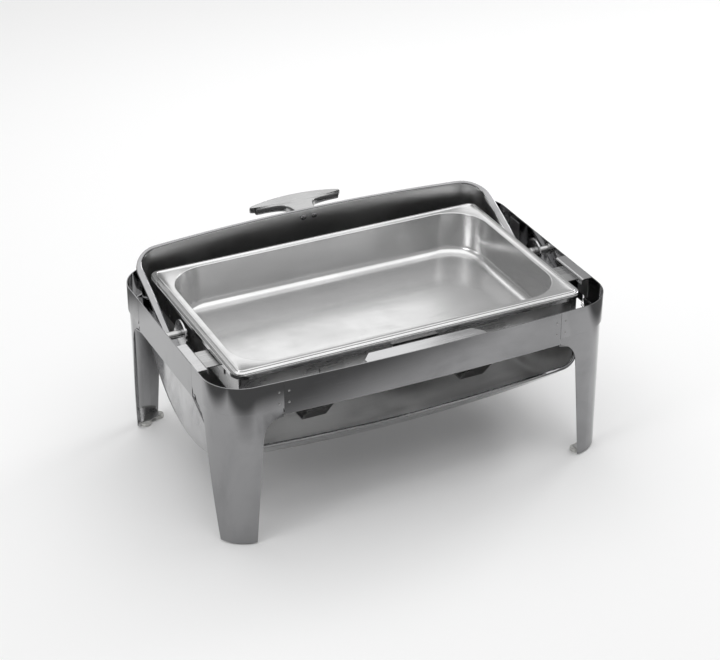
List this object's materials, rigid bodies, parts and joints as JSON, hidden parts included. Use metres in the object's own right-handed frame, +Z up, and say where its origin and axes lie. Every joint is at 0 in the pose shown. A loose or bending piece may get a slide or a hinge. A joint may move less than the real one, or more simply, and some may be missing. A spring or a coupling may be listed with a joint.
{
  "type": "chafing_dish",
  "caption": "Roll-top chafing dish in polished stainless steel: open stand with four corner legs, rolled-back lid, food pan over water pan, two burners.",
  "frame": {"origin": "on the floor, at mid length and mid depth of the stand", "axes": "+X to the right end, -Y to the front, +Z up"},
  "size_m": [0.612, 0.4537, 0.2893],
  "materials": {
    "polished_steel": "mirror-polished stainless steel with fine wipe marks",
    "satin_steel": "satin deep-drawn stainless steel",
    "cast_chrome": "satin-polished casting",
    "pale_plastic": "moulded natural white nylon"
  },
  "bodies": {
    "stand": {"leg_front_left": "polished_steel", "leg_front_right": "polished_steel", "leg_rear_left": "polished_steel", "leg_rear_right": "polished_steel", "front_apron": "polished_steel", "rear_apron": "polished_steel", "seam_straps": "polished_steel", "front_ledge": "polished_steel", "front_strut": "polished_steel", "pan_frame": "satin_steel", "toe_plates": "satin_steel", "foot_glides": "pale_plastic", "end_panel_left": "polished_steel", "end_ledge_left": "polished_steel", "end_strut_left": "polished_steel", "pivot_pin_left": "satin_steel", "pivot_spacer_left": "satin_steel", "pivot_nut_left": "satin_steel", "burner_strap_left": "satin_steel", "burner_cup_left": "satin_steel", "burner_cover_left": "satin_steel", "end_panel_right": "polished_steel", "end_ledge_right": "polished_steel", "end_strut_right": "polished_steel", "pivot_pin_right": "satin_steel", "pivot_spacer_right": "satin_steel", "pivot_nut_right": "satin_steel", "burner_strap_right": "satin_steel", "burner_cup_right": "satin_steel", "burner_cover_right": "satin_steel"},
    "lid": {"lid_shell": "polished_steel", "lid_rim": "polished_steel", "lid_lug_left": "polished_steel", "lid_lug_right": "polished_steel", "lug_rivets": "polished_steel", "lid_handle": "cast_chrome", "handle_screws": "satin_steel"},
    "water_pan": {"water_pan": "satin_steel"},
    "food_pan": {"food_pan": "satin_steel"},
    "damper_left": {"burner_damper_left": "satin_steel"},
    "damper_right": {"burner_damper_right": "satin_steel"}
  },
  "joints": [
    {"name": "lid_roll", "type": "hinge", "parent": "stand", "child": "lid", "pos_m": [0, 0, 0.24], "axis": [-1, 0, 0], "range_deg": [-154.5, 0]},
    {"name": "water_pan_lift", "type": "slide", "parent": "stand", "child": "water_pan", "axis": [0, 0, 1], "range_m": [0, 0.1]},
    {"name": "food_pan_lift", "type": "slide", "parent": "water_pan", "child": "food_pan", "axis": [0, 0, 1], "range_m": [0, 0.08]},
    {"name": "damper_left_swivel", "type": "hinge", "parent": "stand", "child": "damper_left", "pos_m": [-0.125, 0.034, 0.1486], "axis": [0, 0, 1], "range_deg": [0, 100]},
    {"name": "damper_right_swivel", "type": "hinge", "parent": "stand", "child": "damper_right", "pos_m": [0.125, 0.034, 0.1486], "axis": [0, 0, 1], "range_deg": [0, 100]}
  ]
}
